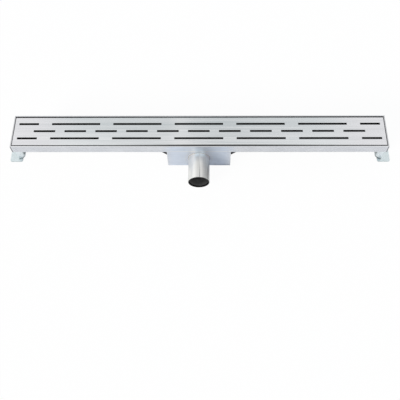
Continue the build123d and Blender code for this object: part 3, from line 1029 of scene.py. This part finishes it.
def tube_seam(rows, columns):
    """Hump on the tube: its radius less a sink, plus the height times the cosine squared across.

    The angle from the crown is the turn plus the half width times across, over the radius. A
    slow sine ripples the height along the tube, and a sunk back closes the hump.
    """
    along = np.linspace(SEAM_FROM, SEAM_TO, rows)[:, None]
    across = np.linspace(-1.0, 1.0, columns)[None, :]
    angle = SEAM_TURN + across * SEAM_HALF_WIDTH / OUTLET_R
    arch = np.cos(np.pi / 2 * across)
    hump = SEAM_HEIGHT * arch ** 2 * (1.0 + RIPPLE * np.sin(along / RIPPLE_LENGTH) * arch)

    def shell(radius):
        """Points at a radius from the outlet's axis."""
        x, y, z = np.broadcast_arrays(radius * np.sin(angle), along, radius * np.cos(angle))
        return np.stack([x, y, OUTLET_HEIGHT + z], axis=-1)

    top = shell(OUTLET_R - SEAM_SINK + hump)
    back = shell(OUTLET_R - 2 * SEAM_SINK)
    section = np.concatenate([top, back[:, ::-1], top[:, :1]], axis=1)
    middle = section.mean(axis=1, keepdims=True)
    first = np.repeat(middle[:1], section.shape[1], axis=1)
    last = np.repeat(middle[-1:], section.shape[1], axis=1)
    return np.concatenate([first, section, last], axis=0)


points = tube_seam(SEAM_ROWS, SEAM_COLUMNS)
grid_piece("outlet_tube_seam", points, finishes["seam_steel"])

# %% [markdown]
# ### Under the trough
# Short straight beads hold the sump's sides to the trough's floor, the gussets in their
# corners and the feet under the ends. They show from below. All of them are one function: a
# straight path in the corner between two faces.

# %% Straight beads
BEAD_RADIUS = 1.1 * MM
BEAD_STAND = 0.55 * MM
POINTS_PER_DROP = 8
FEWEST_DROPS = 4
DOWN = (0, 0, -1)
SIDES = (("left", -1), ("right", 1))   # names, and their signs along X


def straight_bead(name, start, end, face_a, face_b):
    """Bead from start to end, standing off the two faces that its corner lies between."""
    start, end, face_a, face_b = (np.array(v, dtype=float) for v in (start, end, face_a, face_b))
    drops = max(FEWEST_DROPS, round(np.linalg.norm(end - start) / DROP))
    count = POINTS_PER_DROP * drops + 1
    share = np.linspace(0.0, 1.0, count)[:, None]
    path = start + share * (end - start) + BEAD_STAND * (face_a + face_b)
    side_a = np.tile(face_a, (count, 1))
    side_b = np.tile(face_b, (count, 1))
    points = bead(path, side_a, side_b, BEAD_RADIUS, closed=False)
    grid_piece(name, points, finishes["bead_steel"])


print("straight beads ready")

# %% Beads of sump and feet
SUMP_WELD_HALF = 25 * MM
FOOT_WELD_HALF = 9.5 * MM
for side, sign in SIDES:
    ends = [(sign * SUMP_SIDE, y, UNDERSIDE) for y in (-SUMP_WELD_HALF, SUMP_WELD_HALF)]
    straight_bead(f"sump_weld_{side}", *ends, (sign, 0, 0), DOWN)
    ends = [(sign * FOOT_LEG, y, UNDERSIDE) for y in (-FOOT_WELD_HALF, FOOT_WELD_HALF)]
    straight_bead(f"foot_weld_{side}", *ends, (-sign, 0, 0), DOWN)

# %% Beads of the gussets
WELD_INSET = 1.5 * MM   # ends of the beads, from the ends of the gusset's edges
gusset_low, gusset_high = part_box("gusset_front_right")
near, far = gusset_low.x + WELD_INSET, gusset_high.x - WELD_INSET
high, low = gusset_high.z - WELD_INSET, gusset_low.z + WELD_INSET
for side, sign in SIDES:
    for row, way in (("front", 1), ("rear", -1)):
        y = way * gusset_high.y
        inner = (0, way, 0)
        ends = [(sign * x, y, UNDERSIDE) for x in (near, far)]
        straight_bead(f"gusset_weld_{row}_{side}_top", *ends, inner, DOWN)
        ends = [(sign * SUMP_SIDE, y, z) for z in (high, low)]
        straight_bead(f"gusset_weld_{row}_{side}_side", *ends, inner, (sign, 0, 0))

# %% [markdown]
# ## Rolled edges of the feet
# Each leg's two edges roll outwards. The solids stop halfway through the turn, and the picture
# shows the roll going on until it faces the viewer, so these pieces add the second half. Each
# one is an arc of sheet in plan, carried straight up from the flange to the trough.

# %% Second half of each roll
ROLL_TURN = np.radians(np.linspace(45, 90, 13))   # from the leg's flat, about the roll's centre


def rolled_edge(side, way):
    """Arc of sheet in plan, at two heights: outer and inner radius, a sheet apart.

    A point of the arc is the roll's centre less the radius times the cosine of the turn along
    X, and plus the radius times its sine along Y. A first and a last row on the middle radius
    close the ends.
    """
    there = np.full(ROLL_TURN.size, 0.5 * SHEET)
    turn = np.concatenate([ROLL_TURN, ROLL_TURN[::-1], ROLL_TURN[:1]])
    off_middle = np.concatenate([there, -there, there[:1]])

    def level(z, spread):
        """The arc's outline at one height, spread out from the middle radius."""
        radius = FOOT_ROLL - 0.5 * SHEET + spread * off_middle
        x = side * (FOOT_LEG + FOOT_ROLL - radius * np.cos(turn))
        y = way * (FOOT_ROLL + radius * np.sin(turn))
        return np.stack([x, y, np.full(turn.size, z)], axis=-1)

    return np.stack([level(SHEET, 0), level(SHEET, 1), level(UNDERSIDE, 1), level(UNDERSIDE, 0)])


for side, sign in SIDES:
    for row, way in (("front", -1), ("rear", 1)):
        points = rolled_edge(sign, way)
        grid_piece(f"foot_roll_{side}_{row}", points, finishes["foot_steel"])
